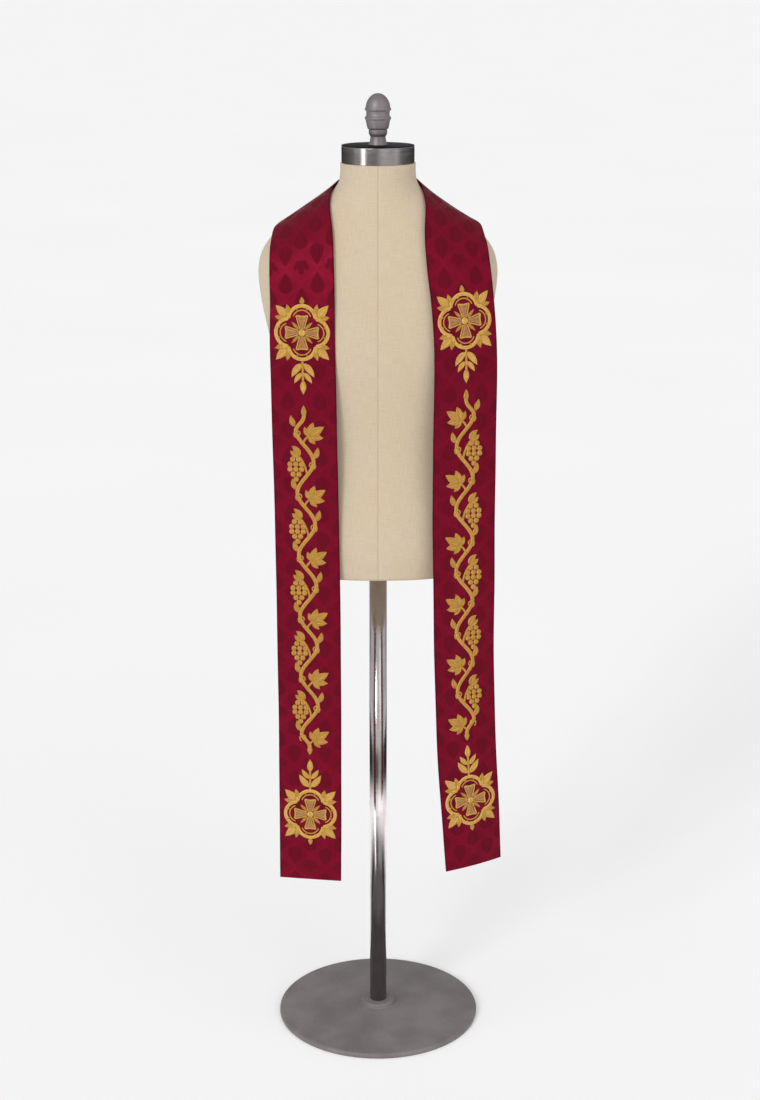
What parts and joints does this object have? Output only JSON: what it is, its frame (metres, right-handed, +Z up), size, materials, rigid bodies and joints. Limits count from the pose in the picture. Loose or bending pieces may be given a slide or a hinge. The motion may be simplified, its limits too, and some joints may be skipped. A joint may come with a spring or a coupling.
{
  "type": "clerical stole on dress form",
  "caption": "Long lined damask stole with embroidered bands, worn round the neck of a limbless dress form so that both ends hang straight down the front.",
  "frame": {"origin": "on the floor, at the middle of the round base's underside, on the pole's axis", "axes": "+Z up along the pole, -Y the way the form and the stole face, +X to the right when seen from the front"},
  "size_m": [0.436, 0.38, 1.7366],
  "materials": {
    "crimson_damask": "satin damask",
    "cream_linen": "plain weave, matte",
    "brushed_steel": "brushed",
    "grey_paint": "satin paint"
  },
  "bodies": {
    "root": {"stole_band_left": "crimson_damask", "stole_band_right": "crimson_damask", "form_torso": "cream_linen", "neck_band": "brushed_steel", "neck_knob": "grey_paint", "stand_pole": "brushed_steel", "stand_base": "grey_paint"}
  },
  "joints": []
}
